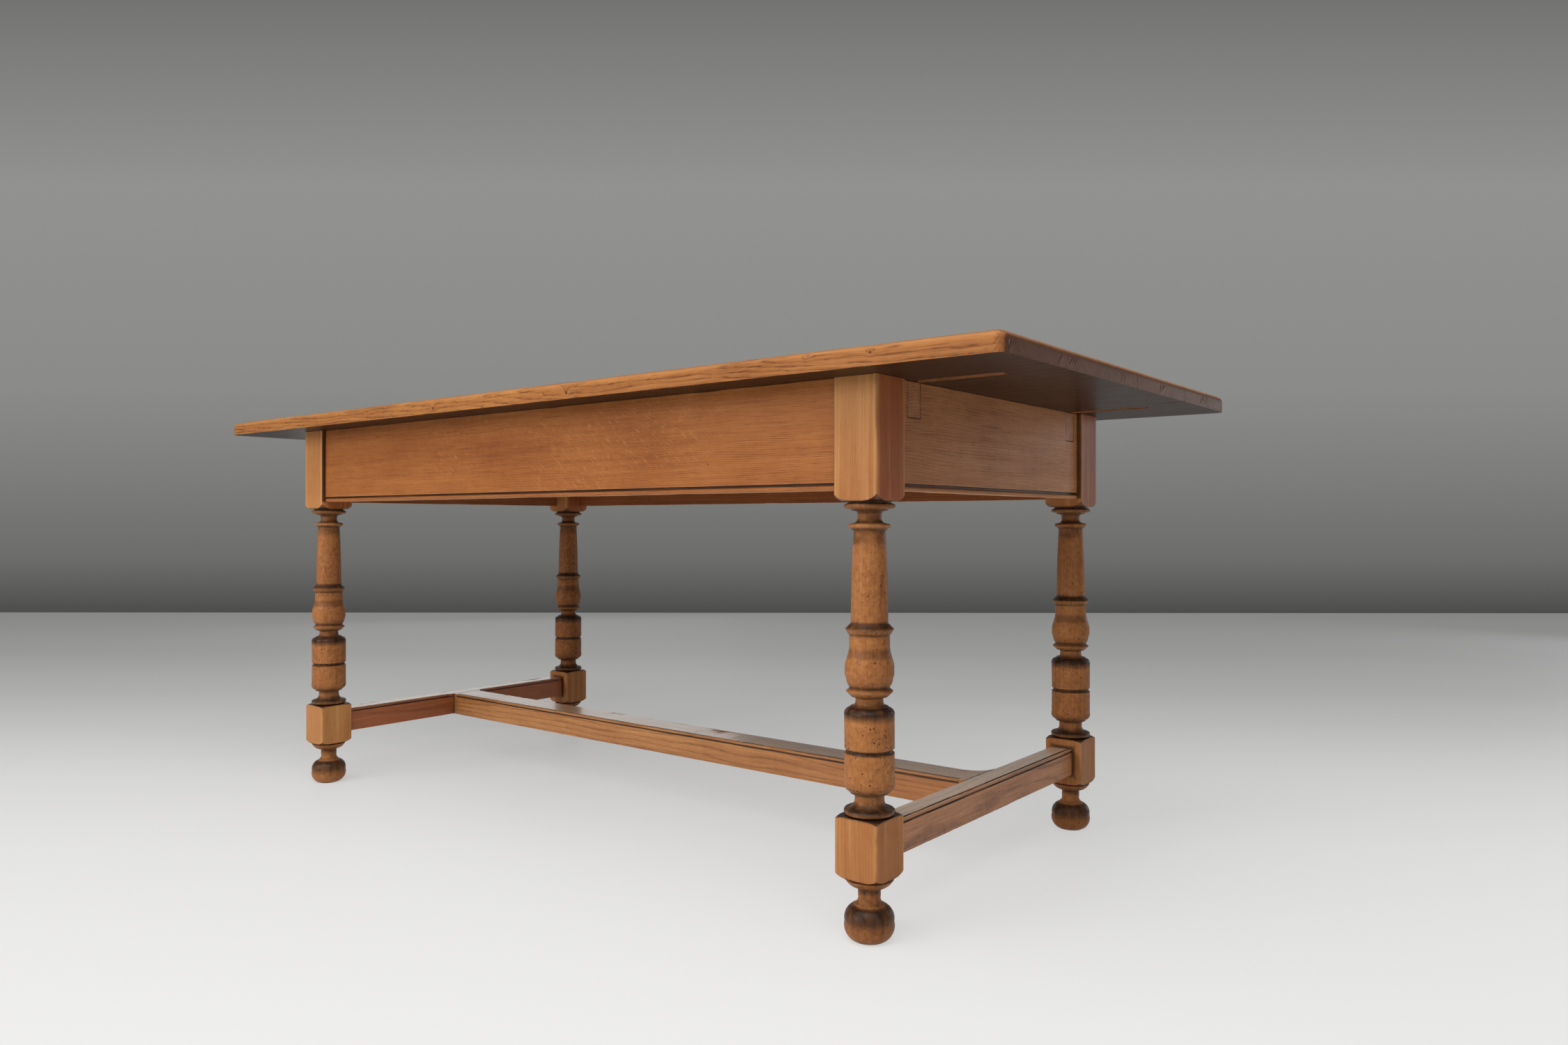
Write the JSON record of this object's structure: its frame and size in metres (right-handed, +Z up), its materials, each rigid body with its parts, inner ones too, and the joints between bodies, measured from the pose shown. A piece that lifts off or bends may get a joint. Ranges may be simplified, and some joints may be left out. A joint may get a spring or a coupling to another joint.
{
  "type": "dining table",
  "caption": "Oak dining table on turned legs with an H stretcher, beaded aprons and pull-out lopers at its ends.",
  "frame": {"origin": "on the floor under the middle of the table", "axes": "+X along the table's length to its right end, +Y from front to back, +Z up"},
  "size_m": [1.836, 0.83, 0.76],
  "materials": {
    "top_oak": "satin wax over honey-brown oak",
    "leg_oak": "satin wax, dark glaze in the turned grooves",
    "apron_oak": "satin wax, quarter-sawn figure",
    "stretcher_oak": "satin wax, dark glaze beside the beads",
    "inner_oak": "plain planed oak",
    "loper_oak": "worn wax",
    "peg_oak": "plain oak",
    "screw_steel": "dull steel"
  },
  "bodies": {
    "table": {"top_board_1": "top_oak", "top_board_2": "top_oak", "top_board_3": "top_oak", "top_board_4": "top_oak", "leg_front_left": "leg_oak", "leg_front_right": "leg_oak", "leg_back_left": "leg_oak", "leg_back_right": "leg_oak", "apron_front": "apron_oak", "apron_back": "apron_oak", "apron_left": "apron_oak", "apron_right": "apron_oak", "stretcher_left": "stretcher_oak", "stretcher_right": "stretcher_oak", "stretcher_centre": "stretcher_oak", "bearer_left": "inner_oak", "bearer_centre": "inner_oak", "bearer_right": "inner_oak", "top_tongues": "peg_oak", "top_buttons": "inner_oak", "button_screws": "screw_steel", "bearer_screws": "screw_steel"},
    "loper_front_left_body": {"loper_front_left": "loper_oak", "stop_peg_front_left": "peg_oak"},
    "loper_front_right_body": {"loper_front_right": "loper_oak", "stop_peg_front_right": "peg_oak"},
    "loper_back_left_body": {"loper_back_left": "loper_oak", "stop_peg_back_left": "peg_oak"},
    "loper_back_right_body": {"loper_back_right": "loper_oak", "stop_peg_back_right": "peg_oak"}
  },
  "joints": [
    {"name": "loper_front_left_slide", "type": "slide", "parent": "table", "child": "loper_front_left_body", "axis": [-1, 0, 0], "range_m": [0, 0.4447]},
    {"name": "loper_front_right_slide", "type": "slide", "parent": "table", "child": "loper_front_right_body", "axis": [1, 0, 0], "range_m": [0, 0.4447]},
    {"name": "loper_back_left_slide", "type": "slide", "parent": "table", "child": "loper_back_left_body", "axis": [-1, 0, 0], "range_m": [0, 0.4447]},
    {"name": "loper_back_right_slide", "type": "slide", "parent": "table", "child": "loper_back_right_body", "axis": [1, 0, 0], "range_m": [0, 0.4447]}
  ]
}
